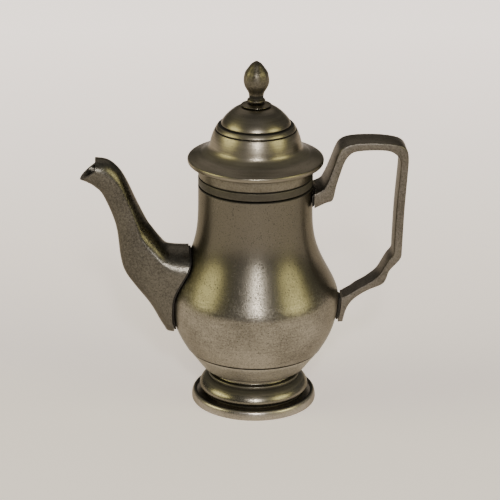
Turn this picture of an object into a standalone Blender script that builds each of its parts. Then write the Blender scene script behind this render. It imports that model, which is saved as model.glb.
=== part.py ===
"""A miniature cast pewter coffee pot with a loose domed lid.

The pot stands on a turned foot, its spout reaches towards -X and its strap handle towards +X.
Everything is turned about one upright axis, apart from the spout, the handle and their joints.
Lengths are in metres, and the outlines of the cast pieces are drawn in millimetres.
"""
import math

import bmesh
import bpy
from mathutils import Vector

MM = 0.001

# ---- driving dimensions -------------------------------------------------------------------
GAP = 0.3 * MM              # clearance left between two pieces that touch
SEGMENTS = 40               # sides of the large turned pieces
SMALL_SEGMENTS = 24         # sides of the small turned pieces

FOOT_RADIUS = 16.0 * MM     # the base ring, where it stands on the table
FOOT_BORE = 11.0 * MM       # the open underside of the base ring
FOOT_RING_HEIGHT = 2.35 * MM
FOOT_SEAT_HEIGHT = 1.6 * MM
FLANGE_RADIUS = 13.95 * MM  # the cushion of the foot stem
FLANGE_HEIGHT = 3.1 * MM
WAIST_RADIUS = 10.65 * MM   # the narrow neck under the bowl
STEM_BORE = WAIST_RADIUS - 1.3 * MM

CUP_HEIGHT = 9.4 * MM       # underside of the bottom cup
CUP_LIP_RADIUS = 13.45 * MM
SEAM_HEIGHT = 14.95 * MM    # the incised ring where the body stands on the bottom cup
SEAM_RADIUS = 17.5 * MM
SEAM_STEP = 0.3 * MM        # the cup is this much smaller than the body at the seam
BELLY_HEIGHT = 28.8 * MM
BELLY_RADIUS = 21.4 * MM
NECK_HEIGHT = 58.35 * MM    # the joint between the body and the rim collar
NECK_RADIUS = 14.43 * MM
WALL = 1.35 * MM            # wall of the body, the cup and the lid
SPIGOT_WALL = 1.05 * MM
SPIGOT_DEPTH = 2.2 * MM     # how far one turned piece reaches into the next

COLLAR_HEIGHT = 5.45 * MM   # from the neck joint up to the seat of the lid
COLLAR_GROOVE = 2.4 * MM    # height of the turned groove above the neck joint
GROOVE_WIDTH = 0.45 * MM
GROOVE_DEPTH = 0.4 * MM
LID_RECESS = 3.6 * MM       # depth of the recess that takes the lid's bezel

BRIM_RADIUS = NECK_RADIUS + 2.67 * MM
BRIM_EDGE = 1.3 * MM
DOME_RADIUS = NECK_RADIUS - 2.98 * MM
DOME_HEIGHT = 14.5 * MM     # from the underside of the brim to the flat under the finial
CROWN_RADIUS = 4.1 * MM     # the flat that the finial stands on

FINIAL_HEIGHT = 10.5 * MM   # from the top of its collar to the tip
BUD_RADIUS = 3.25 * MM
SHANK_RADIUS = 1.1 * MM
RIVET_RADIUS = 1.9 * MM
RIVET_THICKNESS = 0.8 * MM
FINIAL_COLLAR_RADIUS = 3.85 * MM
FINIAL_COLLAR_THICKNESS = 0.6 * MM
WASHER_RADIUS = 3.2 * MM
WASHER_THICKNESS = 0.7 * MM

SOLDER_THICKNESS = 0.35 * MM
SOLDER_INSET = 0.45 * MM    # the solder lies this far back from the edge of what it holds

SPOUT_REACH = 22.7 * MM     # beyond the belly
SPOUT_ROOT_HEIGHT = 18.7 * MM
SPOUT_ABOVE_RIM = 1.8 * MM
SPOUT_WALL = 1.15 * MM
SPOUT_SIDES = 24
OUTLET_HEIGHT = 30.5 * MM
OUTLET_HALF_HEIGHT = 7.0 * MM
OUTLET_HALF_WIDTH = 4.4 * MM

HANDLE_REACH = 23.75 * MM   # beyond the neck
HANDLE_FOOT_HEIGHT = 21.3 * MM
HANDLE_ABOVE_RIM = 6.15 * MM
HANDLE_EDGE = 0.35 * MM

# ---- heights that follow from them --------------------------------------------------------
RIM_HEIGHT = NECK_HEIGHT + COLLAR_HEIGHT
BRIM_HEIGHT = RIM_HEIGHT + GAP
CROWN_HEIGHT = BRIM_HEIGHT + DOME_HEIGHT
NECK_BORE = NECK_RADIUS - WALL
COLLAR_BORE = NECK_RADIUS - WALL - 0.1 * MM
RECESS_HEIGHT = RIM_HEIGHT - LID_RECESS
SKIRT_RADIUS = NECK_BORE - GAP
SKIRT_BORE = SKIRT_RADIUS - SPIGOT_WALL
BEZEL_RADIUS = COLLAR_BORE - GAP
BEZEL_BORE = BEZEL_RADIUS - SPIGOT_WALL
BEZEL_SOCKET = 1.5 * MM     # how far the bezel rises into the lid
SOLDER_GAP = SOLDER_THICKNESS + 2 * GAP
SHANK_HOLE = SHANK_RADIUS + GAP

# Cross-sections of the spout in millimetres, from its root to its mouth: the lowest point and
# the highest point as (out from the belly, up from the root), half the width, how far up the
# upper half its shoulder lies, and how round the roof over it is, where 2 is an ellipse.
SPOUT_SECTIONS = (
    ((-9.0, 0.6), (-9.5, 23.1), 7.0, 0.55, 1.5),
    ((-0.2, 0.0), (-3.9, 23.2), 7.3, 0.55, 1.5),
    ((2.0, 1.9), (-0.6, 23.4), 7.0, 0.55, 1.5),
    ((5.2, 7.7), (1.2, 23.9), 6.4, 0.52, 1.5),
    ((9.2, 13.0), (3.0, 26.1), 5.6, 0.48, 1.5),
    ((11.6, 16.7), (4.5, 28.2), 5.1, 0.45, 1.5),
    ((12.7, 20.8), (6.0, 30.5), 4.6, 0.42, 1.5),
    ((13.8, 29.3), (8.5, 35.7), 3.95, 0.4, 1.6),
    ((16.8, 37.0), (10.9, 41.1), 3.7, 0.35, 1.7),
    ((19.0, 39.5), (13.0, 44.4), 3.75, 0.25, 1.8),
    ((20.9, 40.7), (15.9, 46.5), 3.8, 0.15, 1.9),
    ((22.7, 41.5), (20.9, 46.9), 3.8, 0.1, 2.0),
)
SPOUT_HOOD = 4.0 * MM       # the lower lip reaches this far past the hood
SPOUT_CHEEK = 2.9 * MM      # height of the sides over the lip, where they meet the hood

# Cross-sections of the handle's strap in millimetres: the outer and the inner face as (out from
# the pot, up from the lower end), and half the width. The upper arm is measured out from the
# neck, and the grip and the lower arm are measured out from the belly.
UPPER_ARM_SECTIONS = (
    ((-2.5, 34.9), (-2.5, 30.6), 5.2),
    ((1.8, 36.6), (2.8, 33.2), 5.1),
    ((3.0, 38.1), (4.7, 34.0), 5.0),
    ((3.9, 40.2), (5.5, 37.4), 4.8),
    ((4.9, 43.0), (6.6, 41.0), 4.5),
    ((5.8, 45.5), (7.6, 43.8), 4.3),
    ((6.9, 47.3), (8.9, 45.6), 4.2),
    ((9.5, 48.4), (10.8, 46.4), 4.0),
    ((15.4, 48.65), (15.6, 46.6), 3.9),
    ((20.6, 48.05), (19.0, 46.2), 3.8),
    ((23.0, 46.8), (20.9, 44.9), 3.7),
    ((23.75, 44.4), (21.7, 43.3), 3.6),
)
LOWER_ARM_SECTIONS = (
    ((16.78, 44.4), (14.73, 43.3), 3.6),
    ((16.63, 40.2), (14.63, 39.7), 3.5),
    ((16.13, 30.7), (14.03, 30.7), 3.4),
    ((15.83, 20.5), (13.73, 20.6), 3.35),
    ((15.63, 17.6), (13.63, 18.6), 3.3),
    ((14.23, 15.7), (12.43, 17.0), 3.25),
    ((12.73, 13.9), (11.23, 14.9), 3.2),
    ((11.83, 11.3), (10.33, 13.3), 3.15),
    ((10.63, 10.1), (9.23, 12.1), 3.1),
    ((8.03, 9.0), (6.93, 10.4), 3.0),
    ((5.43, 7.5), (4.73, 9.2), 2.9),
    ((3.23, 5.6), (3.23, 8.1), 2.8),
    ((1.93, 3.3), (1.93, 7.4), 2.75),
    ((1.13, 0.0), (1.13, 6.9), 2.7),
    ((-6.97, 0.0), (-6.97, 6.8), 2.7),
)


# ---- scene, collections and materials -----------------------------------------------------
def clear_scene():
    for old in list(bpy.data.objects):
        bpy.data.objects.remove(old, do_unlink=True)


def new_collection(name):
    group = bpy.data.collections.new(name)
    bpy.context.scene.collection.children.link(group)
    return group


def metal(name, colour, roughness):
    material = bpy.data.materials.new(name)
    material.use_nodes = True
    shader = material.node_tree.nodes["Principled BSDF"]
    shader.inputs["Base Color"].default_value = (*colour, 1.0)
    shader.inputs["Metallic"].default_value = 1.0
    shader.inputs["Roughness"].default_value = roughness
    return material


def add_object(name, mesh, group, material=None):
    piece = bpy.data.objects.new(name, mesh)
    group.objects.link(piece)
    if material:
        mesh.materials.append(material)
    return piece


def make_cutter(piece):
    piece.hide_render = True
    piece.display_type = "WIRE"
    return piece


def boolean(piece, other, operation):
    step = piece.modifiers.new(operation.title(), "BOOLEAN")
    step.operation = operation
    step.object = other
    step.solver = "EXACT"


# ---- turned pieces ------------------------------------------------------------------------
def turned(name, profile, group, material=None, segments=SEGMENTS, closed=True):
    """Turn a profile of (radius, height) points, which run down the outer side, about the axis.

    A closed profile stands clear of the axis; an open one begins and ends on it.
    """
    mesh = bpy.data.meshes.new(name)
    points = [(radius, 0.0, height) for radius, height in profile]
    edges = [(i, i + 1) for i in range(len(points) - 1)]
    if closed:
        edges.append((len(points) - 1, 0))
    mesh.from_pydata(points, edges, [])
    piece = add_object(name, mesh, group, material)
    screw = piece.modifiers.new("Turn", "SCREW")
    screw.axis = "Z"
    screw.angle = math.tau
    screw.steps = segments
    screw.render_steps = segments
    screw.use_merge_vertices = True
    screw.merge_threshold = 0.00001
    screw.use_smooth_shade = True
    return piece


def arc(centre, radius, start, end, steps):
    """Points round a centre of (radius, height), from one angle in degrees to another."""
    points = []
    for i in range(steps + 1):
        angle = math.radians(start + (end - start) * i / steps)
        points.append((centre[0] + radius * math.cos(angle), centre[1] + radius * math.sin(angle)))
    return points


def body_radius(height):
    """The outer radius of the pot's body: a full belly that draws in to a straight neck."""
    if height >= BELLY_HEIGHT:
        rise = min(1.0, (height - BELLY_HEIGHT) / (NECK_HEIGHT - BELLY_HEIGHT))
        return NECK_RADIUS + (BELLY_RADIUS - NECK_RADIUS) * (1 - rise ** 1.61) ** 5.2
    fall = (BELLY_HEIGHT - height) / (BELLY_HEIGHT - SEAM_HEIGHT)
    return SEAM_RADIUS + (BELLY_RADIUS - SEAM_RADIUS) * (1 - abs(fall) ** 2.5) ** 1.1 if fall < 1 \
        else SEAM_RADIUS


def body_outline(offset, top, bottom, steps=22):
    """The body's outline moved outwards by offset, from a top height to a bottom height."""
    points = []
    for i in range(steps + 1):
        height = top + (bottom - top) * i / steps
        slope = (body_radius(height + 0.1 * MM) - body_radius(height - 0.1 * MM)) / (0.2 * MM)
        length = math.hypot(1.0, slope)
        points.append((body_radius(height) + offset / length, height - offset * slope / length))
    return points


def body_blank(name, offset, cutters):
    """A solid of the body's outline, as a cutter that keeps other pieces clear of the body."""
    outline = body_outline(offset, NECK_HEIGHT - 0.2 * MM, SEAM_HEIGHT + 0.2 * MM)
    top = NECK_HEIGHT + COLLAR_HEIGHT
    profile = [(0.0, top), (outline[0][0], top)]
    profile += outline
    profile += [(outline[-1][0] - 3.0 * MM, CUP_HEIGHT), (0.0, CUP_HEIGHT)]
    return make_cutter(turned(name, profile, cutters, closed=False))


def foot_base_ring(group, material):
    edge = FOOT_RING_HEIGHT
    channel = FLANGE_RADIUS + 0.8 * MM
    profile = [
        (channel, edge),
        (channel + 0.4 * MM, edge),
        (FOOT_RADIUS - 0.45 * MM, edge - 0.3 * MM),
        (FOOT_RADIUS - 0.15 * MM, edge - 1.0 * MM),
        (FOOT_RADIUS, 0.4 * MM),
        (FOOT_RADIUS, 0.0),
        (FOOT_BORE, 0.0),
        (FOOT_BORE, FOOT_SEAT_HEIGHT),
        (channel - 0.4 * MM, FOOT_SEAT_HEIGHT),
    ]
    return turned("foot_base_ring", profile, group, material)


def foot_stem(group, material):
    flange, low = FLANGE_RADIUS, FLANGE_HEIGHT
    top = CUP_HEIGHT - GAP
    register = flange - 1.15 * MM
    profile = [
        (WAIST_RADIUS + 0.25 * MM, top),
        (WAIST_RADIUS, top - 0.5 * MM),
        (WAIST_RADIUS, top - 1.3 * MM),
        (WAIST_RADIUS + 0.6 * MM, top - 1.6 * MM),
    ]
    profile += arc((WAIST_RADIUS + 0.6 * MM, top - 2.1 * MM), 0.5 * MM, 60, -80, 4)
    profile += [
        (flange - 1.9 * MM, low + 3.35 * MM),
        (flange - 1.05 * MM, low + 2.9 * MM),
        (flange - 0.4 * MM, low + 2.25 * MM),
        (flange - 0.05 * MM, low + 1.5 * MM),
        (flange, low + 0.8 * MM),
        (flange - 0.15 * MM, low + 0.3 * MM),
        (flange - 0.55 * MM, low),
        (register, low),
        (register, FOOT_SEAT_HEIGHT + GAP),
        (FOOT_BORE + 0.2 * MM, FOOT_SEAT_HEIGHT + GAP),
        (FOOT_BORE + 0.2 * MM, low),
        (STEM_BORE, top - 2.0 * MM),
        (STEM_BORE, top),
    ]
    return turned("foot_stem", profile, group, material)


def bottom_cup(group, material):
    top = SEAM_HEIGHT - GAP / 2
    side = SEAM_RADIUS - SEAM_STEP
    spigot = SEAM_RADIUS - WALL - 0.2 * MM - GAP
    boss = STEM_BORE - GAP
    lip = CUP_LIP_RADIUS
    profile = [
        (0.0, CUP_HEIGHT + WALL),
        (lip - 2.2 * MM, CUP_HEIGHT + WALL),
        (spigot - SPIGOT_WALL, top - 0.4 * MM),
        (spigot - SPIGOT_WALL, top + SPIGOT_DEPTH),
        (spigot, top + SPIGOT_DEPTH),
        (spigot, top),
        (side, top),
        ((side + lip) / 2 + 0.2 * MM, (top + CUP_HEIGHT) / 2 + 0.3 * MM),
        (lip + 0.35 * MM, CUP_HEIGHT + 0.75 * MM),
        (lip, CUP_HEIGHT + 0.3 * MM),
        (lip - 0.5 * MM, CUP_HEIGHT),
        (boss, CUP_HEIGHT),
        (boss, CUP_HEIGHT - 1.2 * MM),
        (0.0, CUP_HEIGHT - 1.2 * MM),
    ]
    return turned("bottom_cup", profile, group, material, closed=False)


def body(group, material, outlet):
    top = NECK_HEIGHT - GAP / 2
    bottom = SEAM_HEIGHT + GAP / 2
    outer = body_outline(0.0, top, bottom)
    inner = body_outline(-WALL, top - 3 * MM, bottom + SPIGOT_DEPTH, 18)
    seat = outer[-1][0] - WALL - 0.2 * MM
    profile = [(NECK_BORE, top)]
    profile += outer
    profile += [(seat, bottom)]
    profile += list(reversed(inner))
    piece = turned("body", profile, group, material)
    boolean(piece, outlet, "DIFFERENCE")
    return piece


def rim_collar(group, material):
    low, high = NECK_HEIGHT + GAP / 2, RIM_HEIGHT
    groove = NECK_HEIGHT + COLLAR_GROOVE
    half = GROOVE_WIDTH / 2
    profile = [
        (COLLAR_BORE, high),
        (NECK_RADIUS, high),
        (NECK_RADIUS, groove + half),
        (NECK_RADIUS - GROOVE_DEPTH, groove + half / 2),
        (NECK_RADIUS - GROOVE_DEPTH, groove - half / 2),
        (NECK_RADIUS, groove - half),
        (NECK_RADIUS, low + 0.1 * MM),
        (NECK_RADIUS - 0.15 * MM, low),
        (SKIRT_RADIUS, low),
        (SKIRT_RADIUS, low - SPIGOT_DEPTH),
        (SKIRT_BORE, low - SPIGOT_DEPTH),
        (SKIRT_BORE, RECESS_HEIGHT),
        (COLLAR_BORE, RECESS_HEIGHT),
    ]
    return turned("rim_collar", profile, group, material)


# ---- the lid and its finial ---------------------------------------------------------------
def lid(group, material):
    """A domed cap with one step and one turned groove, and a cove that runs out to the brim."""
    low, crown, dome = BRIM_HEIGHT, CROWN_HEIGHT, DOME_RADIUS
    socket = BEZEL_RADIUS + GAP
    hollow = dome - WALL
    profile = [
        (SHANK_HOLE, crown),
        (CROWN_RADIUS, crown),
        (dome - 5.05 * MM, crown - 1.6 * MM),
        (dome - 3.65 * MM, crown - 2.95 * MM),
        (dome - 2.7 * MM, crown - 4.15 * MM),
        (dome - 2.7 * MM, crown - 4.45 * MM),
        (dome - 2.1 * MM, crown - 4.55 * MM),
        (dome - 1.4 * MM, crown - 5.5 * MM),
        (dome - 1.65 * MM, crown - 5.65 * MM),
        (dome - 1.2 * MM, crown - 5.85 * MM),
        (dome - 0.6 * MM, crown - 7.2 * MM),
        (dome - 0.15 * MM, crown - 8.7 * MM),
        (dome, low + 4.8 * MM),
        (dome + 0.6 * MM, low + 3.7 * MM),
        (dome + 1.3 * MM, low + 3.0 * MM),
        (dome + 2.4 * MM, low + 2.4 * MM),
        (dome + 3.9 * MM, low + 1.9 * MM),
        (BRIM_RADIUS - 0.15 * MM, low + BRIM_EDGE),
        (BRIM_RADIUS, low + BRIM_EDGE - 0.3 * MM),
        (BRIM_RADIUS - 0.1 * MM, low + 0.25 * MM),
        (BRIM_RADIUS - 0.4 * MM, low),
        (socket, low),
        (socket, low + BEZEL_SOCKET),
        (hollow + 0.7 * MM, low + BEZEL_SOCKET + 0.6 * MM),
        (hollow, low + 4.6 * MM),
        (hollow - 0.5 * MM, crown - 7.0 * MM),
        (hollow - 1.6 * MM, crown - 5.3 * MM),
        (hollow - 3.6 * MM, crown - 3.2 * MM),
        (WASHER_RADIUS + 0.6 * MM, crown - WALL),
        (SHANK_HOLE, crown - WALL),
    ]
    return turned("lid", profile, group, material)


def lid_bezel(group, material):
    low = RECESS_HEIGHT + GAP
    high = BRIM_HEIGHT + BEZEL_SOCKET - GAP
    profile = [(BEZEL_BORE, high), (BEZEL_RADIUS, high), (BEZEL_RADIUS, low + 0.2 * MM),
               (BEZEL_RADIUS - 0.2 * MM, low), (BEZEL_BORE, low)]
    return turned("lid_bezel", profile, group, material)


def finial_collar(group, material):
    low = CROWN_HEIGHT + GAP
    rim = FINIAL_COLLAR_RADIUS
    high = low + FINIAL_COLLAR_THICKNESS
    profile = [(SHANK_HOLE, high), (rim - 1.3 * MM, high), (rim - 0.2 * MM, low + 0.35 * MM),
               (rim, low + 0.15 * MM), (rim - 0.15 * MM, low), (SHANK_HOLE, low)]
    return turned("finial_collar", profile, group, material, SMALL_SEGMENTS)


def finial_washer(group, material):
    high = CROWN_HEIGHT - WALL - GAP
    low = high - WASHER_THICKNESS
    profile = [(SHANK_HOLE, high), (WASHER_RADIUS, high), (WASHER_RADIUS, low), (SHANK_HOLE, low)]
    return turned("finial_washer", profile, group, material, SMALL_SEGMENTS)


def finial(group, material):
    """A pointed bud on a short neck, whose shank is riveted over the washer inside the lid."""
    low = CROWN_HEIGHT + FINIAL_COLLAR_THICKNESS + 2 * GAP
    tip = low + FINIAL_HEIGHT
    bud = BUD_RADIUS
    rivet = CROWN_HEIGHT - WALL - WASHER_THICKNESS - 2 * GAP
    profile = [
        (0.0, tip),
        (bud * 0.2, tip - 0.2 * MM),
        (bud * 0.42, tip - 0.8 * MM),
        (bud * 0.63, tip - 1.7 * MM),
        (bud * 0.88, tip - 2.9 * MM),
        (bud * 0.98, tip - 4.1 * MM),
        (bud, tip - 5.0 * MM),
        (bud * 0.95, tip - 6.0 * MM),
        (bud * 0.82, tip - 6.9 * MM),
        (bud * 0.64, tip - 7.9 * MM),
        (bud * 0.57, tip - 8.7 * MM),
        (bud * 0.57, tip - 9.5 * MM),
        (bud * 0.72, tip - 9.9 * MM),
        (bud * 0.72, low + 0.2 * MM),
        (bud * 0.6, low),
        (SHANK_RADIUS, low),
        (SHANK_RADIUS, rivet),
        (RIVET_RADIUS, rivet),
        (RIVET_RADIUS - 0.3 * MM, rivet - RIVET_THICKNESS),
        (0.0, rivet - RIVET_THICKNESS),
    ]
    return turned("finial", profile, group, material, SMALL_SEGMENTS, closed=False)


# ---- pieces lofted through cross-sections -------------------------------------------------
def loft(name, rings, group, material=None, capped=True):
    """A mesh through rings of points; capped ends close it, otherwise the last meets the first."""
    mesh = bpy.data.meshes.new(name)
    shape = bmesh.new()
    rows = [[shape.verts.new(point) for point in ring] for ring in rings]
    pairs = list(zip(rows, rows[1:]))
    if not capped:
        pairs.append((rows[-1], rows[0]))
    for row, following in pairs:
        for i in range(len(row)):
            j = (i + 1) % len(row)
            shape.faces.new((row[i], row[j], following[j], following[i]))
    if capped:
        shape.faces.new(list(reversed(rows[0])))
        shape.faces.new(rows[-1])
    if shape.calc_volume(signed=True) < 0:
        bmesh.ops.reverse_faces(shape, faces=shape.faces)
    shape.to_mesh(mesh)
    shape.free()
    return add_object(name, mesh, group, material)


def spout_outline(turn, shoulder, roundness):
    """A point of the spout's cross-section, in shares of its half width and half height.

    The underside is half an ellipse, the sides stand up from it to the shoulder, and the roof
    closes over them.
    """
    if turn >= math.pi:
        return math.cos(turn), math.sin(turn)
    side = 1 if turn <= math.pi / 2 else -1
    climb = (turn if side > 0 else math.pi - turn) / (math.pi / 2)
    upright = 0.3
    if climb < upright:
        return side, shoulder * climb / upright
    bend = (climb - upright) / (1 - upright) * math.pi / 2
    power = 2 / roundness
    return (side * max(0.0, math.cos(bend)) ** power,
            shoulder + (1 - shoulder) * math.sin(bend) ** power)


def spout_rings(sections, inset):
    """Rings of the spout at an inset from its outer skin, placed on the pot."""
    reach = SPOUT_REACH / (SPOUT_SECTIONS[-1][0][0] * MM)
    rise = (RIM_HEIGHT + SPOUT_ABOVE_RIM - SPOUT_ROOT_HEIGHT) / (SPOUT_SECTIONS[-1][1][1] * MM)
    rings = []
    for (low_x, low_z), (high_x, high_z), half_width, shoulder, roundness in sections:
        low = Vector((-BELLY_RADIUS - low_x * reach * MM, 0, SPOUT_ROOT_HEIGHT + low_z * rise * MM))
        high = Vector((-BELLY_RADIUS - high_x * reach * MM, 0,
                       SPOUT_ROOT_HEIGHT + high_z * rise * MM))
        centre = (low + high) / 2
        up = (high - low).normalized()
        tall = (high - low).length / 2 - inset
        wide = half_width * MM - inset
        ring = []
        for i in range(SPOUT_SIDES):
            across, along = spout_outline(math.tau * i / SPOUT_SIDES, shoulder, roundness)
            ring.append(centre + up * tall * along + Vector((0, wide * across, 0)))
        rings.append(ring)
    return rings


def mouth_cutter(cutters):
    """Cuts the spout's mouth open above a line that rises from the lip back to the hood."""
    tip = spout_rings(SPOUT_SECTIONS[-1:], 0.0)[0]
    lip = min(tip, key=lambda point: point.z)
    far = 2 * SPOUT_HOOD
    outline = [(lip.x + SPOUT_HOOD, lip.z + far), (lip.x + SPOUT_HOOD, lip.z + SPOUT_CHEEK),
               (lip.x, lip.z - 0.2 * MM), (lip.x - far, lip.z - 0.2 * MM), (lip.x - far, lip.z + far)]
    rings = [[Vector((x, side * BELLY_RADIUS, z)) for x, z in outline] for side in (-1, 1)]
    return make_cutter(loft("mouth_cutter", rings, cutters))


def spout(group, material, blank, mouth):
    rings = spout_rings(SPOUT_SECTIONS, 0.0)
    rings += reversed(spout_rings(SPOUT_SECTIONS, SPOUT_WALL))
    piece = loft("spout", rings, group, material, capped=False)
    boolean(piece, mouth, "DIFFERENCE")
    boolean(piece, blank, "DIFFERENCE")
    return piece


def spout_solder(group, material, inner_blank, outer_blank):
    root = SPOUT_SECTIONS[:4]
    rings = spout_rings(root, SOLDER_INSET)
    rings += reversed(spout_rings(root, SPOUT_WALL + SOLDER_INSET))
    piece = loft("spout_solder", rings, group, material, capped=False)
    boolean(piece, inner_blank, "DIFFERENCE")
    boolean(piece, outer_blank, "INTERSECT")
    return piece


def outlet_cutter(cutters):
    """The opening through the body's wall behind the spout."""
    bpy.ops.mesh.primitive_cylinder_add(vertices=SPOUT_SIDES, radius=1.0, depth=2.0)
    piece = bpy.context.object
    piece.name = "outlet_cutter"
    for group in list(piece.users_collection):
        group.objects.unlink(piece)
    cutters.objects.link(piece)
    piece.rotation_euler = (0.0, math.radians(90), 0.0)
    piece.scale = (OUTLET_HALF_HEIGHT, OUTLET_HALF_WIDTH, BELLY_RADIUS / 2)
    piece.location = (-BELLY_RADIUS, 0.0, OUTLET_HEIGHT)
    return make_cutter(piece)


def strap_rings(sections, start, end, inset=0.0):
    """Four-cornered rings of the strap, from a radius it starts at to the furthest it reaches.

    The inset draws them in from the strap's faces, in width and in height.
    """
    reach = (end - start) / (max(outer[0] for outer, _, _ in sections) * MM)
    rise = RIM_HEIGHT + HANDLE_ABOVE_RIM - HANDLE_FOOT_HEIGHT
    rise /= max(outer[1] for outer, _, _ in UPPER_ARM_SECTIONS) * MM
    rings = []
    for (out_x, out_z), (in_x, in_z), half_width in sections:
        outer = Vector((start + out_x * reach * MM, 0, HANDLE_FOOT_HEIGHT + out_z * rise * MM))
        inner = Vector((start + in_x * reach * MM, 0, HANDLE_FOOT_HEIGHT + in_z * rise * MM))
        shrink = (inner - outer).normalized() * inset
        side = Vector((0, half_width * MM - inset, 0))
        rings.append([outer + shrink - side, outer + shrink + side,
                      inner - shrink + side, inner - shrink - side])
    return rings


def upper_arm(inset=0.0):
    return strap_rings(UPPER_ARM_SECTIONS, NECK_RADIUS, NECK_RADIUS + HANDLE_REACH, inset)


def lower_arm(inset=0.0):
    return strap_rings(LOWER_ARM_SECTIONS, BELLY_RADIUS, NECK_RADIUS + HANDLE_REACH, inset)


def handle(group, material, blank):
    piece = loft("handle", upper_arm() + lower_arm()[1:], group, material)
    bevel = piece.modifiers.new("Soft edges", "BEVEL")
    bevel.width = HANDLE_EDGE
    bevel.segments = 1
    bevel.limit_method = "ANGLE"
    bevel.angle_limit = math.radians(60)
    boolean(piece, blank, "DIFFERENCE")
    return piece


def handle_solder(name, rings, group, material, inner_blank, outer_blank):
    """A pad of solder between one end of the handle and the pot."""
    piece = loft(name, rings, group, material)
    boolean(piece, inner_blank, "DIFFERENCE")
    boolean(piece, outer_blank, "INTERSECT")
    return piece


# ---- the whole pot ------------------------------------------------------------------------
def centre_on_origin(group):
    """Stand the pot so that the origin is under the middle of its whole length."""
    bpy.context.view_layer.update()
    depsgraph = bpy.context.evaluated_depsgraph_get()
    lengths = []
    for piece in group.objects:
        evaluated = piece.evaluated_get(depsgraph)
        mesh = evaluated.to_mesh()
        lengths += [vertex.co.x for vertex in mesh.vertices]
        evaluated.to_mesh_clear()
    return -(min(lengths) + max(lengths)) / 2


def main():
    clear_scene()
    pot = new_collection("coffee_pot")
    cutters = new_collection("cutters")

    pewter = metal("aged_pewter", (0.2, 0.183, 0.15), 0.42)
    buffed = metal("buffed_pewter", (0.2, 0.187, 0.15), 0.3)
    cast = metal("cast_pewter", (0.18, 0.166, 0.135), 0.5)
    solder = metal("dark_solder", (0.035, 0.033, 0.03), 0.6)

    against_body = body_blank("blank_at_body", GAP, cutters)
    against_solder = body_blank("blank_over_solder", GAP + SOLDER_THICKNESS, cutters)
    beyond_solder = body_blank("blank_beyond_solder", SOLDER_GAP, cutters)
    outlet = outlet_cutter(cutters)

    foot_base_ring(pot, pewter)
    foot_stem(pot, buffed)
    bottom_cup(pot, pewter)
    body(pot, pewter, outlet)
    rim_collar(pot, pewter)
    spout(pot, cast, beyond_solder, mouth_cutter(cutters))
    spout_solder(pot, solder, against_body, against_solder)
    handle(pot, cast, beyond_solder)
    handle_solder("handle_upper_solder", upper_arm(SOLDER_INSET)[:2], pot, solder,
                  against_body, against_solder)
    handle_solder("handle_lower_solder", lower_arm(SOLDER_INSET)[-2:], pot, solder,
                  against_body, against_solder)
    lid(pot, buffed)
    lid_bezel(pot, pewter)
    finial_collar(pot, buffed)
    finial(pot, cast)
    finial_washer(pot, pewter)

    axis = bpy.data.objects.new("pot_axis", None)
    pot_middle = centre_on_origin(pot)
    bpy.context.scene.collection.objects.link(axis)
    for piece in list(pot.objects) + list(cutters.objects):
        piece.parent = axis
    axis.location.x = pot_middle


main()
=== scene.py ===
import math

import bmesh
import bpy
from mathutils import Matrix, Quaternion, Vector


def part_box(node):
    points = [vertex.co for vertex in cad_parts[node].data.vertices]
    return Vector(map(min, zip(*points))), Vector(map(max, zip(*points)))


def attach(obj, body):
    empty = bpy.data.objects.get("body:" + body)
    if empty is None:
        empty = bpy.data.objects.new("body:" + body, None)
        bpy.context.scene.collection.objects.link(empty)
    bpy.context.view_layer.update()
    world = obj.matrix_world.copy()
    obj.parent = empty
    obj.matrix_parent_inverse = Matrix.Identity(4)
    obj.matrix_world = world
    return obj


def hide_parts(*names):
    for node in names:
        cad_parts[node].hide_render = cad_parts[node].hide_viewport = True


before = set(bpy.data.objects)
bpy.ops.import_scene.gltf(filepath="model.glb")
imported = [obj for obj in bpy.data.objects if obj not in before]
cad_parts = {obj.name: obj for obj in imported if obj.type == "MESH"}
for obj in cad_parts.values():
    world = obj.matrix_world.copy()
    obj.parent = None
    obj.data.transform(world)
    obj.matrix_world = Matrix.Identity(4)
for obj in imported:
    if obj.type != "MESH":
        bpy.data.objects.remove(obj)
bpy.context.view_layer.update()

# The camera: a long lens that looks down on the pot a little, from a little to its left. It is
# tipped by half a degree.
foot_low, foot_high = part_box("foot_base_ring")
axis_x = (foot_low.x + foot_high.x) / 2
MM = 0.001
AIM_HEIGHT, AIM_ASIDE = 40.36, -1.22
CAMERA_DISTANCE = 571.6
CAMERA_SWING, CAMERA_LIFT, CAMERA_TIP = math.radians(-3.5), math.radians(21.2), math.radians(0.5)

camera = bpy.data.objects.new("camera", bpy.data.cameras.new("camera"))
bpy.context.scene.collection.objects.link(camera)
bpy.context.scene.camera = camera
camera.data.lens = 162.0
camera.data.sensor_width = 36.0
away = Vector((math.sin(CAMERA_SWING) * math.cos(CAMERA_LIFT),
               -math.cos(CAMERA_SWING) * math.cos(CAMERA_LIFT), math.sin(CAMERA_LIFT)))
turned_to_pot = (-away).to_track_quat("-Z", "Y")
camera.rotation_mode = "QUATERNION"
camera.rotation_quaternion = turned_to_pot @ Quaternion((0, 0, 1), CAMERA_TIP)
camera.location = (Vector((axis_x, 0, AIM_HEIGHT * MM)) + away * CAMERA_DISTANCE * MM
                   + turned_to_pot @ Vector((AIM_ASIDE * MM, 0, 0)))


# The table: one sheet of pale warm card that runs on behind the pot, with nothing else on it.
# Painted light: the card gives out a light of its own, dim in front and brighter towards the back.
TABLE_SIZE = 8.0
PAINTED_LIGHT_DEPTH = 0.35
NEAR_PAINTED_LIGHT, FAR_PAINTED_LIGHT = (0.33, 0.282, 0.26, 1), (0.95, 0.83, 0.79, 1)


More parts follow.
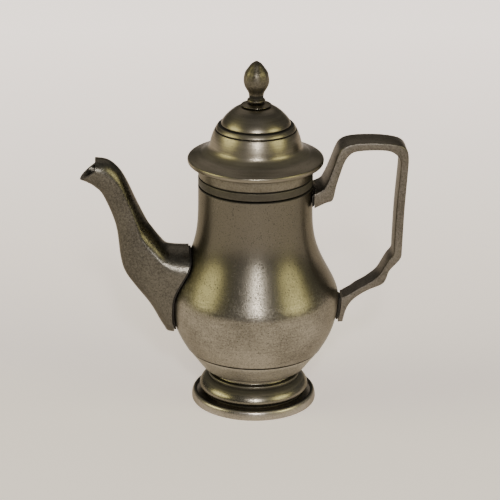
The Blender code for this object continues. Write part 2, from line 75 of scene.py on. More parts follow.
class Value:
    """Something that varies over a surface. Arithmetic on it adds the Math nodes that do it."""

    def __init__(self, tree, socket=None):
        self.tree, self.socket = tree, socket

    def node(self, kind, settings, inputs, result=0):
        """Add a node: first its settings, then a number or a link for each of its sockets."""
        made = self.tree.nodes.new("ShaderNode" + kind)
        for name, setting in settings.items():
            setattr(made, name, setting)
        for name, value in inputs.items():
            if isinstance(value, Value):
                self.tree.links.new(value.socket, made.inputs[name])
            else:
                made.inputs[name].default_value = value
        return Value(self.tree, made.outputs[result])

    def arithmetic(self, operation, first, second):
        return self.node("Math", {"operation": operation}, {0: first, 1: second})

    def __add__(self, other):
        return self.arithmetic("ADD", self, other)

    def __radd__(self, other):
        return self.arithmetic("ADD", other, self)

    def __sub__(self, other):
        return self.arithmetic("SUBTRACT", self, other)

    def __rsub__(self, other):
        return self.arithmetic("SUBTRACT", other, self)

    def __mul__(self, other):
        return self.arithmetic("MULTIPLY", self, other)

    def __rmul__(self, other):
        return self.arithmetic("MULTIPLY", other, self)

    def ramp(self, low, high):
        """Nought below low and one above high, with a soft change between them."""
        return self.node("MapRange", {"interpolation_type": "SMOOTHSTEP"},
                         {"Value": self, "From Min": low, "From Max": high})

    def either(self, other):
        """The stronger of two."""
        return self.arithmetic("MAXIMUM", self, other)

    def noise(self, size, detail, stretch=(1, 1, 1)):
        """Soft random change over a place, with lumps of about this size in metres."""
        place = self.node("Mapping", {}, {"Vector": self, "Scale": stretch})
        return self.node("TexNoise", {"noise_dimensions": "3D"},
                         {"Vector": place, "Scale": 1 / size, "Detail": detail})

    def tint(self, dark, light):
        """A colour from dark to light as this goes from nought to one."""
        return self.node("Mix", {"data_type": "RGBA"}, {0: self, 6: dark, 7: light}, 2)


bpy.ops.object.select_all(action="DESELECT")
bpy.ops.mesh.primitive_plane_add(size=TABLE_SIZE, location=(0, 0, 0))
table = bpy.context.object
table.name = "table_card"
card = bpy.data.materials.new("pale_card")
card.use_nodes = True
card_shader = card.node_tree.nodes["Principled BSDF"]
card_shader.inputs["Base Color"].default_value = (0.72, 0.69, 0.66, 1)
card_shader.inputs["Roughness"].default_value = 0.9
card_shader.inputs["Specular IOR Level"].default_value = 0.1
# Painted light: the card glows by itself, from dim at the front to bright towards the back.
card_shader.inputs["Emission Strength"].default_value = 1.7
card_place = Value(card.node_tree).node("TexCoord", {}, {}, "Object")
card_depth = card_place.node("SeparateXYZ", {}, {0: card_place}, "Y")
card_painted_light = (card_depth * (1 / PAINTED_LIGHT_DEPTH)).tint(NEAR_PAINTED_LIGHT, FAR_PAINTED_LIGHT)
card.node_tree.links.new(card_painted_light.socket, card_shader.inputs["Emission Color"])
table.data.materials.append(card)


# The light: a dim room, with two narrow softboxes just over the camera, a greenish-yellow lamp
# on each side, and a faint ceiling behind. The lamps face the middle of the pot.
LAMP_AIM = 0.04

room = bpy.data.worlds.new("dim_room")
room.use_nodes = True
room.node_tree.nodes["Background"].inputs["Color"].default_value = (0.75, 0.74, 0.72, 1)
room.node_tree.nodes["Background"].inputs["Strength"].default_value = 0.26
bpy.context.scene.world = room


def softbox(name, bearing, lift, distance, width, height, power, colour):
    """A soft oval light that faces the pot from a bearing, 0 in front and 90 at its right."""
    light = bpy.data.lights.new(name, "AREA")
    light.shape = "ELLIPSE"
    light.size, light.size_y = width, height
    light.energy = power
    light.color = colour
    lamp = bpy.data.objects.new(name, light)
    bpy.context.scene.collection.objects.link(lamp)
    side, up = math.radians(bearing), math.radians(lift)
    outward = Vector((math.sin(side) * math.cos(up), -math.cos(side) * math.cos(up), math.sin(up)))
    lamp.location = Vector((axis_x, 0, LAMP_AIM)) + outward * distance
    lamp.rotation_euler = outward.to_track_quat("Z", "Y").to_euler()


softbox("box_over_camera", -1, 33, 1.0, 0.05, 0.1, 2.0, (1.0, 0.96, 0.94))
softbox("strip_over_camera", 1, 26, 1.1, 0.07, 0.5, 5.2, (1.0, 0.96, 0.93))
softbox("left_lamp", -82, 25, 1.2, 0.85, 0.62, 7.0, (1.0, 0.94, 0.46))
softbox("right_lamp", 60, 25, 1.2, 0.75, 0.62, 6.0, (1.0, 0.94, 0.46))
softbox("ceiling_behind", 180, 50, 1.5, 1.8, 1.4, 2.6, (1.0, 0.9, 0.8))


# Base ring: the flat-bottomed ring that the pot stands on, cast and then turned in pewter.
# Its underside is open, and the flange of the stem is let into its top.
PEWTER_SHEEN = (0.56, 0.54, 0.49, 1)
# The near-black that pits, specks and dark rings mix to; some of the rings are painted shade.
DIRT_AND_SHADE_TONE = (0.012, 0.011, 0.009, 1)


def pewter(name, dark, light, roughness, grain=0.5, lathe=0.5, pitting=0.5, dirt_and_shade_rings=(),
           painted_shade_up=None):
    """Old pewter: cloudy patina, casting grain, pits, and lathe lines where turned.

    The rings are (height, half width, strength) in millimetres: patina settled in grooves and
    joints, and painted shade in gaps and recesses. The upward ramp is (low, high, strength) of a
    painted shade that darkens the piece slowly upwards.
    """
    metal = bpy.data.materials.new(name)
    metal.use_nodes = True
    tree = metal.node_tree
    shader = tree.nodes["Principled BSDF"]
    shader.inputs["Specular Tint"].default_value = PEWTER_SHEEN
    place = Value(tree).node("TexCoord", {}, {}, "Object")
    height = place.node("SeparateXYZ", {}, {0: place}, "Z")

    cloud = place.noise(11 * MM, 3.0)
    grains = place.noise(0.5 * MM, 4.0)
    specks = place.noise(0.3 * MM, 1.0).ramp(0.58, 0.72) * grain
    pits = place.noise(0.32 * MM, 1.0).ramp(0.6, 0.72) * pitting
    lines = place.noise(0.35 * MM, 1.0, stretch=(0.05, 0.05, 1))
    dirt_and_shade = (specks * 0.4).either(pits * 0.6)
    # Each ring darkens one height: patina in a groove or joint, or painted shade in a gap or
    # recess.
    for middle, half_width, strength in dirt_and_shade_rings:
        offset = place.node("Math", {"operation": "ABSOLUTE"}, {0: height - middle * MM})
        dirt_and_shade = dirt_and_shade.either((1 - offset.ramp(half_width * 0.5 * MM, half_width * 1.2 * MM))
                           * strength)
    tone = (cloud - 0.5) * 0.9 + (grains - 0.5) * 1.1 * grain + (lines - 0.5) * 0.6 * lathe + 0.5
    # Painted shade: the colour darkens slowly upwards between two heights.
    if painted_shade_up:
        low, high, strength = painted_shade_up
        tone = tone - height.ramp(low * MM, high * MM) * strength
    colour = tone.ramp(0.0, 1.0).tint((*dark, 1), (*light, 1))
    colour = colour.node("Mix", {"data_type": "RGBA"}, {0: dirt_and_shade, 6: colour, 7: DIRT_AND_SHADE_TONE}, 2)
    tree.links.new(colour.socket, shader.inputs["Base Color"])
    rough = roughness + (grains - 0.5) * 0.15 * grain + (cloud - 0.5) * 0.15 + dirt_and_shade * 0.3
    tree.links.new(rough.socket, shader.inputs["Roughness"])
    tree.links.new((1 - dirt_and_shade * 0.6).socket, shader.inputs["Metallic"])
    relief = grains * grain + lines * 0.25 * lathe - dirt_and_shade * 0.8
    bump = relief.node("Bump", {}, {"Height": relief, "Strength": 0.4, "Distance": 0.05 * MM})
    tree.links.new(bump.socket, shader.inputs["Normal"])
    return metal


def flowing(*points, steps=5):
    """Points on a smooth line through these ones."""
    ends = [points[0]] + list(points) + [points[-1]]
    line = []
    for before, start, end, after in zip(ends, ends[1:], ends[2:], ends[3:]):
        for step in range(steps):
            t = step / steps
            line.append(tuple(
                0.5 * (2 * b + (c - a) * t + (2 * a - 5 * b + 4 * c - d) * t * t
                       + (3 * b - a - 3 * c + d) * t ** 3)
                for a, b, c, d in zip(before, start, end, after)))
    return line + [points[-1]]


def turn_on_lathe(name, outline, sides=128, edge=0.06, closed=True):
    """Draw half of a section in millimetres, point by point, and spin it about the pot's axis.

    closed joins its last point to its first, for a section that doesn't start at the axis.
    """
    bpy.ops.object.select_all(action="DESELECT")
    here = outline[0]
    bpy.ops.mesh.primitive_plane_add(size=1 * MM, location=(axis_x + here[0] * MM, 0, here[1] * MM))
    piece = bpy.context.object
    piece.name = name
    bpy.ops.object.mode_set(mode="EDIT")
    bpy.ops.mesh.select_all(action="SELECT")
    bpy.ops.mesh.merge(type="CENTER")
    for point in outline[1:]:
        move = ((point[0] - here[0]) * MM, 0, (point[1] - here[1]) * MM)
        bpy.ops.mesh.extrude_vertices_move(TRANSFORM_OT_translate={"value": move})
        here = point
    if closed:
        section = bmesh.from_edit_mesh(piece.data)
        for vertex in section.verts:
            vertex.select_set(len(vertex.link_edges) == 1)
        section.select_flush(True)
        bmesh.update_edit_mesh(piece.data)
        bpy.ops.mesh.edge_face_add()
    bpy.ops.mesh.select_all(action="SELECT")
    bpy.ops.mesh.spin(steps=sides, angle=math.tau, center=(axis_x, 0, 0), axis=(0, 0, 1))
    bpy.ops.mesh.select_all(action="SELECT")
    bpy.ops.mesh.remove_doubles(threshold=0.002 * MM)
    bpy.ops.mesh.normals_make_consistent(inside=False)
    bpy.ops.object.mode_set(mode="OBJECT")
    bpy.ops.object.transform_apply(location=True, rotation=True, scale=True)
    if edge:
        soften = piece.modifiers.new("worn edges", "BEVEL")
        soften.width = edge * MM
        soften.segments = 2
        soften.limit_method = "ANGLE"
        soften.angle_limit = math.radians(35)
        bpy.ops.object.modifier_apply(modifier=soften.name)
    bpy.ops.object.shade_smooth_by_angle(angle=math.radians(40))
    return piece


def fit(piece, metal, body, slot, *nodes):
    """Give a finished piece its metal, and put it in the place of its CAD nodes."""
    piece.data.materials.clear()
    piece.data.materials.append(metal)
    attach(piece, body)
    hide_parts(*nodes)


# Its dark ring at 2.6 mm is painted shade in the gap under the stem's flange.
ring_metal = pewter("ring_pewter", (0.22, 0.198, 0.165), (0.42, 0.385, 0.33), 0.3, grain=0.6,
                    lathe=0.6, pitting=0.5, dirt_and_shade_rings=[(2.6, 0.5, 1.0)])
base_ring = turn_on_lathe("base_ring", [
    (14.75, 1.6), (14.75, 2.25),
    *flowing((14.8, 2.33), (15.1, 2.35), (15.45, 2.2), (15.73, 1.85), (15.9, 1.3), (15.99, 0.7),
             (16.0, 0.3)),
    (15.95, 0.0), (11.0, 0.0), (11.0, 1.6)])
fit(base_ring, ring_metal, "pot", "aged_pewter", "foot_base_ring")


# Stem: the cushion flange, the little bead and the narrow waist under the bowl, turned in one
# piece of pewter and hollow right through. Its skirt drops into the base ring.
# Its dark rings at 9.1 and 2.7 mm are painted shade in the gaps under the bowl and over the base
# ring; the broad ring on the flange top is settled patina and painted shade together.
stem_metal = pewter("stem_pewter", (0.1, 0.091, 0.07), (0.25, 0.229, 0.183), 0.27, grain=0.35,
                    lathe=1.0, pitting=0.4,
                    dirt_and_shade_rings=[(9.1, 0.4, 1.0), (6.5, 1.0, 0.7), (2.7, 0.5, 1.0)])
stem = turn_on_lathe("turned_stem", [
    (10.9, 9.1),
    *flowing((10.85, 9.05), (10.65, 8.6), (10.65, 7.8), (10.8, 7.55)),
    *flowing((11.2, 7.52), (11.6, 7.4), (11.75, 7.05), (11.6, 6.68), (11.4, 6.52)),
    *flowing((11.65, 6.45), (12.0, 6.3), (12.8, 5.7), (13.45, 5.0), (13.82, 4.35), (13.95, 3.8),
             (13.85, 3.4), (13.4, 3.1)),
    (12.8, 3.1), (12.8, 1.9), (11.2, 1.9), (11.2, 3.1), (9.35, 7.1), (9.35, 9.1)])
fit(stem, stem_metal, "pot", "buffed_pewter", "foot_stem")


# Bottom cup: the shallow bowl that closes the body, seated on the stem by a boss. The body
# stands on it, and the joint shows as one fine ring low on the belly.
# Its dark ring at 9.45 mm is painted shade in the gap under its lip; the one at 14.85 mm is patina
# in the seam.
cup_metal = pewter("cup_pewter", (0.26, 0.238, 0.195), (0.52, 0.484, 0.41), 0.4, grain=0.9,
                   lathe=0.4, pitting=0.9, dirt_and_shade_rings=[(9.45, 0.35, 1.0), (14.85, 0.28, 1.0)])
cup = turn_on_lathe("cup_under_belly", [
    (0.0, 10.75), (11.25, 10.75), (14.6, 14.4), (14.6, 17.0), (15.65, 17.0), (15.65, 14.8),
    *flowing((17.2, 14.8), (16.5, 13.75), (15.5, 12.45), (14.6, 11.2), (13.9, 10.25),
             (13.5, 9.75), (13.3, 9.5), (12.95, 9.4)),
    (9.05, 9.4), (9.05, 8.2), (0.0, 8.2)], closed=False)
fit(cup, cup_metal, "pot", "aged_pewter", "bottom_cup")


# Body: the full belly that draws in to a straight neck, slush-cast in pewter about 1.35 mm thick,
# turned outside and left grainy. Its wall is cut through behind the spout.
SEAM, BELLY, NECK = (17.5, 15.1), (21.4, 28.8), (14.43, 58.2)
CURVE_FOOT, CURVE_TOP = 14.95, 58.35
WALL = 1.35


def belly_radius(height):
    """How wide the body is outside: widest at the belly, drawn in to the neck and the seam."""
    if height >= BELLY[1]:
        rise = min(1.0, (height - BELLY[1]) / (CURVE_TOP - BELLY[1]))
        return NECK[0] + (BELLY[0] - NECK[0]) * (1 - rise ** 1.61) ** 5.2
    fall = min(1.0, (BELLY[1] - height) / (BELLY[1] - CURVE_FOOT))
    return SEAM[0] + (BELLY[0] - SEAM[0]) * (1 - fall ** 2.5) ** 1.1


def belly_line(offset, top, bottom, steps):
    """The belly's outline moved outwards by an offset, from one height down to another."""
    line = []
    for step in range(steps + 1):
        height = top + (bottom - top) * step / steps
        slope = (belly_radius(height + 0.05) - belly_radius(height - 0.05)) / 0.1
        length = math.hypot(1, slope)
        line.append((belly_radius(height) + offset / length, height - offset * slope / length))
    return line


def cut(piece, tool, operation="DIFFERENCE"):
    """Cut a piece with a tool, or keep what lies inside it, and take the tool away."""
    bpy.ops.object.select_all(action="DESELECT")
    piece.select_set(True)
    bpy.context.view_layer.objects.active = piece
    step = piece.modifiers.new("cut", "BOOLEAN")
    step.operation, step.object, step.solver = operation, tool, "EXACT"
    bpy.ops.object.modifier_apply(modifier=step.name)
    bpy.data.objects.remove(tool, do_unlink=True)


# Painted shade: its colour darkens slowly from the belly up to the neck. The rings at the neck and
# the seam are patina in the joints.
body_metal = pewter("body_pewter", (0.12, 0.109, 0.087), (0.38, 0.348, 0.29), 0.31, grain=0.7,
                    lathe=0.45, pitting=1.0, dirt_and_shade_rings=[(58.3, 0.4, 1.0), (15.0, 0.25, 1.0)],
                    painted_shade_up=(26, 39, 0.55))
body_outline = belly_line(0.0, NECK[1], SEAM[1], 90)
body_inside = belly_line(-WALL, 55.35, 17.3, 50)
pot_body = turn_on_lathe("pot_body", [(13.08, 58.2)] + body_outline
                         + [(15.95, 15.1)] + body_inside[::-1], sides=160, edge=0.05)

OUTLET_HEIGHT = 30.5
OUTLET_HALF_WIDTH, OUTLET_HALF_HEIGHT = 4.4, 7.0
bpy.ops.object.select_all(action="DESELECT")
bpy.ops.mesh.primitive_cylinder_add(vertices=32, radius=OUTLET_HALF_WIDTH * MM, depth=BELLY[0] * MM,
                                    location=(axis_x - BELLY[0] * MM, 0, OUTLET_HEIGHT * MM),
                                    rotation=(0, math.radians(90), 0))
outlet = bpy.context.object
bpy.ops.object.mode_set(mode="EDIT")
bpy.ops.mesh.select_all(action="SELECT")
bpy.ops.transform.resize(value=(1, 1, OUTLET_HALF_HEIGHT / OUTLET_HALF_WIDTH),
                         center_override=(axis_x, 0, OUTLET_HEIGHT * MM))
bpy.ops.object.mode_set(mode="OBJECT")
cut(pot_body, outlet)
bpy.ops.object.shade_smooth_by_angle(angle=math.radians(40))
fit(pot_body, body_metal, "pot", "aged_pewter", "body")


# Rim collar: the band at the mouth, turned with one groove, with a skirt that drops into the
# neck and a recess that takes the lid.
# Painted shade: the collar's colours are darkened for the shade under the lid's brim, most of all
# in the broad ring between its grooves; the narrow rings are patina in the grooves.
shaded_collar_metal = pewter("collar_pewter_shaded", (0.08, 0.072, 0.055), (0.2, 0.182, 0.145), 0.32, grain=0.7,
                      lathe=0.4, pitting=0.6,
                      dirt_and_shade_rings=[(60.75, 0.3, 1.0), (58.45, 0.3, 1.0), (59.6, 1.2, 0.7)])
collar = turn_on_lathe("turned_collar", [
    (12.98, 63.8), (14.43, 63.8), (14.43, 60.98), (14.03, 60.86), (14.03, 60.64), (14.43, 60.53),
    (14.43, 58.7), (14.25, 58.5), (12.78, 58.5), (12.78, 56.3), (11.73, 56.3), (11.73, 60.2),
    (12.98, 60.2)])
fit(collar, shaded_collar_metal, "pot", "aged_pewter", "rim_collar")


# Spout: a swan neck cast in one piece and left rough from the mould, with deep flat sides and a
# rounded roof that springs from a shoulder line. Its mouth is cut back under a small hood, and its
# wide root is soldered round the outlet.

# Each station, root to mouth: the lowest and the highest point (out from the belly, up from the
# root), half the width, how high its shoulder is, and how round the roof is, 2 for an ellipse.
SPOUT_STATIONS = (
    (-9.0, 0.6, -9.5, 23.1, 7.0, 0.55, 1.8), (-0.2, 0.0, -3.9, 23.2, 7.3, 0.55, 1.8),
    (2.0, 1.9, -0.6, 23.4, 7.0, 0.55, 1.8), (5.2, 7.7, 1.2, 23.9, 6.4, 0.52, 1.8),
    (9.2, 13.0, 3.0, 26.1, 5.6, 0.48, 1.7), (11.6, 16.7, 4.5, 28.2, 5.1, 0.45, 1.5),
    (12.7, 20.8, 6.0, 30.5, 4.6, 0.42, 1.5), (13.8, 29.3, 8.5, 35.7, 3.95, 0.4, 1.6),
    (16.8, 37.0, 10.9, 41.1, 3.7, 0.35, 1.7), (19.0, 39.5, 13.0, 44.4, 3.75, 0.25, 1.8),
    (20.9, 40.7, 15.9, 46.5, 3.8, 0.15, 1.9), (22.7, 41.5, 20.9, 46.9, 3.8, 0.1, 2.0))
SPOUT_ROOT = 18.7
SPOUT_WALL = 1.15
SPOUT_SIDES = 48
UPRIGHT = 0.3
SOLDERED_OFF = 0.95


def spout_ring(station, inset, sides):
    """One cross-section of the spout: half an ellipse below, upright sides, and a roof above."""
    low_x, low_z, high_x, high_z, half_width, shoulder, roundness = station
    low = Vector((axis_x - (BELLY[0] + low_x) * MM, 0, (SPOUT_ROOT + low_z) * MM))
    high = Vector((axis_x - (BELLY[0] + high_x) * MM, 0, (SPOUT_ROOT + high_z) * MM))
    middle, up = (low + high) / 2, (high - low).normalized()
    tall, wide = (high - low).length / 2 - inset * MM, (half_width - inset) * MM
    ring = []
    for i in range(sides):
        across, along = math.cos(math.tau * i / sides), math.sin(math.tau * i / sides)
        climb = math.acos(abs(across)) / (math.pi / 2)
        if along > 0 and climb < UPRIGHT:
            across, along = math.copysign(1, across), shoulder * climb / UPRIGHT
        elif along > 0:
            bend = (climb - UPRIGHT) / (1 - UPRIGHT) * math.pi / 2
            across = math.copysign(max(0.0, math.cos(bend)) ** (2 / roundness), across)
            along = shoulder + (1 - shoulder) * math.sin(bend) ** (2 / roundness)
        ring.append(middle + up * tall * along + Vector((0, wide * across, 0)))
    return ring


def draw_out(name, rings, joined):
    """Extrude a ring of edges through cross-sections; joined ends meet, others are closed flat."""
    bpy.ops.object.select_all(action="DESELECT")
    bpy.ops.mesh.primitive_circle_add(vertices=len(rings[0]), radius=1 * MM)
    piece = bpy.context.object
    piece.name = name
    bpy.ops.object.mode_set(mode="EDIT")
    bpy.ops.mesh.select_all(action="SELECT")
    for number, ring in enumerate(rings):
        if number:
            bpy.ops.mesh.extrude_edges_move(TRANSFORM_OT_translate={"value": (0, 0, 0)})
        shape = bmesh.from_edit_mesh(piece.data)
        shape.verts.ensure_lookup_table()
        newest = [vertex for vertex in shape.verts if vertex.select]
        newest.sort(key=lambda vertex: vertex.index)
        for vertex, point in zip(newest, ring):
            vertex.co = point
        bmesh.update_edit_mesh(piece.data)
    shape = bmesh.from_edit_mesh(piece.data)
    for edge in shape.edges:
        edge.select_set(edge.is_boundary)
    bmesh.update_edit_mesh(piece.data)
    if joined:
        bpy.ops.mesh.bridge_edge_loops()
    else:
        bpy.ops.mesh.edge_face_add()
    bpy.ops.mesh.select_all(action="SELECT")
    bpy.ops.mesh.normals_make_consistent(inside=False)
    if bmesh.from_edit_mesh(piece.data).calc_volume(signed=True) < 0:
        bpy.ops.mesh.flip_normals()
    bpy.ops.object.mode_set(mode="OBJECT")
    return piece


def belly_blank(name, offset):
    """A solid of the belly's own shape, to cut whatever is soldered to it."""
    line = belly_line(offset, 58.15, 15.15, 60)
    return turn_on_lathe(name, [(0.0, 63.8), (line[0][0], 63.8)] + line
                         + [(line[-1][0] - 3.0, 9.4), (0.0, 9.4)], edge=0, closed=False)


skin = flowing(*SPOUT_STATIONS, steps=5)
outer_rings = [spout_ring(station, 0.0, SPOUT_SIDES) for station in skin]
inner_rings = [spout_ring(station, SPOUT_WALL, SPOUT_SIDES) for station in skin]
spout = draw_out("swan_neck_spout", outer_rings + inner_rings[::-1], joined=True)

lip = min(outer_rings[-1], key=lambda point: point.z)
MOUTH_DEPTH, HOOD_LIFT, LIP_TRIM, TOOL_REACH = 4.0 * MM, 2.9 * MM, 0.2 * MM, 8.0 * MM
hood = [(lip.x + MOUTH_DEPTH, lip.z + TOOL_REACH), (lip.x + MOUTH_DEPTH, lip.z + HOOD_LIFT),
        (lip.x, lip.z - LIP_TRIM), (lip.x - TOOL_REACH, lip.z - LIP_TRIM),
        (lip.x - TOOL_REACH, lip.z + TOOL_REACH)]
mouth = draw_out("mouth_tool", [[Vector((x, side * 10 * MM, z)) for x, z in hood]
                                for side in (-1, 1)], joined=False)
cut(spout, mouth)
cut(spout, belly_blank("spout_blank", SOLDERED_OFF))
bpy.ops.object.shade_smooth_by_angle(angle=math.radians(38))

spout_metal = pewter("spout_pewter", (0.052, 0.048, 0.04), (0.14, 0.13, 0.109), 0.3, grain=1.1,
                     lathe=0.0, pitting=1.0)
fit(spout, spout_metal, "pot", "cast_pewter", "spout")


# Solder under the spout: a thin dark band all round its root, a little back from the edge, run in
# with an iron to fill the space between the casting and the body.
SOLDER_NEAR, SOLDER_FAR = 0.3, 0.65
SOLDER_BACK, SOLDER_INNER = 0.45, 1.6
solder_metal = pewter("dark_solder", (0.02, 0.019, 0.017), (0.06, 0.056, 0.05), 0.6, grain=0.8,
                      lathe=0.0, pitting=0.3)


def solder_pad(name, rings, joined, node):
    """A thin plate of solder that follows the body's curve under what is fixed to it."""
    pad = draw_out(name, rings, joined)
    cut(pad, belly_blank("inner_blank", SOLDER_NEAR))
    cut(pad, belly_blank("outer_blank", SOLDER_FAR), "INTERSECT")
    bpy.ops.object.shade_smooth_by_angle(angle=math.radians(40))
    fit(pad, solder_metal, "pot", "dark_solder", node)


root = SPOUT_STATIONS[:4]
solder_pad("solder_round_spout",
           [spout_ring(station, SOLDER_BACK, SPOUT_SIDES) for station in root]
           + [spout_ring(station, SOLDER_INNER, SPOUT_SIDES) for station in root[::-1]],
           True, "spout_solder")


# Handle: one flat strap of pewter, cast in its angular loop and left rough from the mould. Both
# ends are soldered to the body.

# Each station, top to bottom: the outer and the inner face (out from the neck, up from the foot
# of the handle), and half the width.
HANDLE_STATIONS = (
    (-2.5, 34.9, -2.5, 30.6, 5.2), (1.8, 36.6, 2.8, 33.2, 5.1), (3.0, 38.1, 4.7, 34.0, 5.0),
    (3.9, 40.2, 5.5, 37.4, 4.8), (4.9, 43.0, 6.6, 41.0, 4.5), (5.8, 45.5, 7.6, 43.8, 4.3),
    (6.9, 47.3, 8.9, 45.6, 4.2), (9.5, 48.4, 10.8, 46.4, 4.0), (15.4, 48.65, 15.6, 46.6, 3.9),
    (20.6, 48.05, 19.0, 46.2, 3.8), (23.0, 46.8, 20.9, 44.9, 3.7), (23.7, 44.4, 21.7, 43.3, 3.6),
    (23.6, 40.2, 21.6, 39.7, 3.5), (23.1, 30.7, 21.0, 30.7, 3.4), (22.8, 20.5, 20.7, 20.6, 3.35),
    (22.6, 17.6, 20.6, 18.6, 3.3), (21.2, 15.7, 19.4, 17.0, 3.25), (19.7, 13.9, 18.2, 14.9, 3.2),
    (18.8, 11.3, 17.3, 13.3, 3.15), (17.6, 10.1, 16.2, 12.1, 3.1), (15.0, 9.0, 13.9, 10.4, 3.0),
    (12.4, 7.5, 11.7, 9.2, 2.9), (10.2, 5.6, 10.2, 8.1, 2.8), (8.9, 3.3, 8.9, 7.4, 2.75),
    (8.1, 0.0, 8.1, 6.9, 2.7), (0.0, 0.0, 0.0, 6.8, 2.7))
HANDLE_FOOT = 21.3
STRAP_EDGE = 0.4


def strap_ring(station, inset=0.0):
    """One cross-section of the strap: a flat rectangle with its four corners rounded off."""
    out_x, out_z, in_x, in_z, half_width = station
    outer = Vector((axis_x + (NECK[0] + out_x) * MM, 0, (HANDLE_FOOT + out_z) * MM))
    inner = Vector((axis_x + (NECK[0] + in_x) * MM, 0, (HANDLE_FOOT + in_z) * MM))
    middle, through = (outer + inner) / 2, (outer - inner).normalized()
    edge = STRAP_EDGE * MM
    thick = (outer - inner).length / 2 - inset * MM - edge
    wide = (half_width - inset) * MM - edge
    ring = []
    for corner in range(4):
        up, side = (1, 1, -1, -1)[corner], (-1, 1, 1, -1)[corner]
        for step in range(4):
            angle = math.radians(90 * (1 - corner) + 90 - 30 * step)
            ring.append(middle + through * (up * thick + edge * math.sin(angle))
                        + Vector((0, side * wide + edge * math.cos(angle), 0)))
    return ring


strap = flowing(*HANDLE_STATIONS[:-1], steps=3) + [HANDLE_STATIONS[-1]]
handle = draw_out("strap_handle", [strap_ring(station) for station in strap], joined=False)
cut(handle, belly_blank("handle_blank", SOLDERED_OFF))
bpy.ops.object.shade_smooth_by_angle(angle=math.radians(38))
handle_metal = pewter("handle_pewter", (0.08, 0.072, 0.061), (0.19, 0.173, 0.148), 0.42, grain=1.0,
                      lathe=0.0, pitting=1.0)
fit(handle, handle_metal, "pot", "cast_pewter", "handle")


# Solder at the handle: a dark pad of the same solder under each end of the strap, a little
# smaller than the strap all round.
for end, stations in (("upper", HANDLE_STATIONS[:2]), ("lower", HANDLE_STATIONS[-2:])):
    solder_pad(f"solder_{end}_handle", [strap_ring(station, SOLDER_BACK) for station in stations],
               False, f"handle_{end}_solder")


# Lid: a dome turned in pewter and buffed, with a cap that steps in over a black groove, a second
# groove under it, and a cove that runs out to the brim. It lies loose on the rim.
# The broad ring at 67.5 mm in the cove is settled patina and painted shade together; the narrow
# rings are patina in the grooves.
lid_metal = pewter("lid_pewter", (0.12, 0.107, 0.082), (0.25, 0.226, 0.18), 0.33, grain=0.12,
                   lathe=0.9, pitting=0.45,
                   dirt_and_shade_rings=[(74.12, 0.2, 1.0), (72.88, 0.2, 1.0), (67.5, 0.9, 0.35)])
lid = turn_on_lathe("domed_lid", [
    (1.4, 78.6),
    *flowing((4.1, 78.6), (4.8, 78.3), (5.7, 77.75), (6.7, 76.95), (7.7, 75.92), (8.35, 75.08),
             (8.7, 74.4)),
    (8.7, 74.25), (8.45, 74.15), (8.5, 74.05),
    *flowing((9.2, 74.03), (9.4, 74.0), (9.75, 73.6), (10.0, 73.2), (10.05, 73.05)),
    (10.0, 72.95), (9.75, 72.9), (9.8, 72.8),
    *flowing((10.15, 72.76), (10.28, 72.65), (10.65, 71.9), (10.98, 71.0), (11.25, 70.1),
             (11.47, 69.2), (11.65, 68.6), (11.95, 68.05), (12.4, 67.55), (13.1, 67.0),
             (14.0, 66.45), (15.35, 65.95), (16.4, 65.62)),
    *flowing((16.55, 65.56), (16.9, 65.4), (17.08, 65.1), (17.08, 64.75), (16.98, 64.35),
             (16.7, 64.1)),
    (12.98, 64.1), (12.98, 65.6), (10.8, 66.2), (10.1, 68.7), (9.6, 71.6), (8.5, 73.3),
    (6.5, 75.4), (3.8, 77.25), (1.4, 77.25)])
fit(lid, lid_metal, "lid", "buffed_pewter", "lid")


# Bezel: a plain ring turned in pewter and let into the underside of the lid. It drops into the
# recess of the rim collar and centres the lid there.
bezel_metal = pewter("bezel_pewter", (0.15, 0.138, 0.11), (0.3, 0.275, 0.225), 0.4, grain=0.7,
                     lathe=0.6, pitting=0.5)
bezel = turn_on_lathe("bezel_ring", [(11.63, 65.3), (12.68, 65.3), (12.68, 60.7), (12.48, 60.5),
                                    (11.63, 60.5)])
fit(bezel, bezel_metal, "lid", "aged_pewter", "lid_bezel")


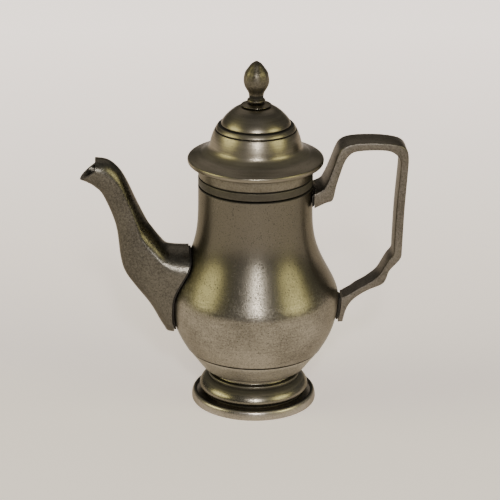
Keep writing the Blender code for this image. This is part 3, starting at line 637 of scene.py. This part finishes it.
# Finial: a thin cone-shaped collar on the crown, and over it a pointed bud cast with faint leaves
# on a short neck. Its shank runs through the crown and is riveted over a washer inside.
finial_collar = turn_on_lathe("cone_collar", [
    (1.4, 79.5), (2.55, 79.5), *flowing((2.6, 79.48), (3.3, 79.32), (3.65, 79.22), (3.83, 79.08)),
    (3.7, 78.9), (1.4, 78.9)], sides=96, edge=0.04)
fit(finial_collar, lid_metal, "lid", "buffed_pewter", "finial_collar")

BUD_TIP, BUD_FOOT = 90.3, 82.4
CREASES, CREASE_DEPTH = 6, 0.035
finial_metal = pewter("finial_pewter", (0.06, 0.054, 0.041), (0.16, 0.145, 0.115), 0.42, grain=1.0,
                      lathe=0.2, pitting=0.6, dirt_and_shade_rings=[(81.2, 0.55, 1.0), (79.7, 0.25, 1.0)])
finial = turn_on_lathe("bud_finial", [
    *flowing((0.0, BUD_TIP), (0.35, 90.22), (0.75, 89.95), (1.35, 89.5), (2.05, 88.6),
             (2.86, 87.4), (3.18, 86.2), (3.25, 85.3), (3.09, 84.3), (2.66, 83.4),
             (2.06, BUD_FOOT), (1.83, 81.6), (1.8, 81.0)),
    *flowing((1.85, 80.75), (2.2, 80.45), (2.27, 80.2), (2.2, 79.95)),
    (1.9, 79.8), (1.1, 79.8), (1.1, 76.0), (1.9, 75.95), (1.6, 75.15), (0.0, 75.15)],
    sides=64, edge=0.04, closed=False)
bud = bmesh.new()
bud.from_mesh(finial.data)
for vertex in bud.verts:
    height = vertex.co.z / MM
    if BUD_FOOT < height < BUD_TIP - 0.3:
        share = math.sin(math.pi * (height - BUD_FOOT) / (BUD_TIP - BUD_FOOT))
        bearing = math.atan2(vertex.co.y, vertex.co.x - axis_x)
        leaf = 1 - CREASE_DEPTH * share * abs(math.cos(CREASES / 2 * bearing)) ** 6
        vertex.co.x = axis_x + (vertex.co.x - axis_x) * leaf
        vertex.co.y *= leaf
bud.to_mesh(finial.data)
bud.free()
fit(finial, finial_metal, "lid", "cast_pewter", "finial")

washer = turn_on_lathe("shank_washer", [(1.4, 76.95), (3.2, 76.95), (3.2, 76.25), (1.4, 76.25)],
                       sides=64)
fit(washer, bezel_metal, "lid", "aged_pewter", "finial_washer")
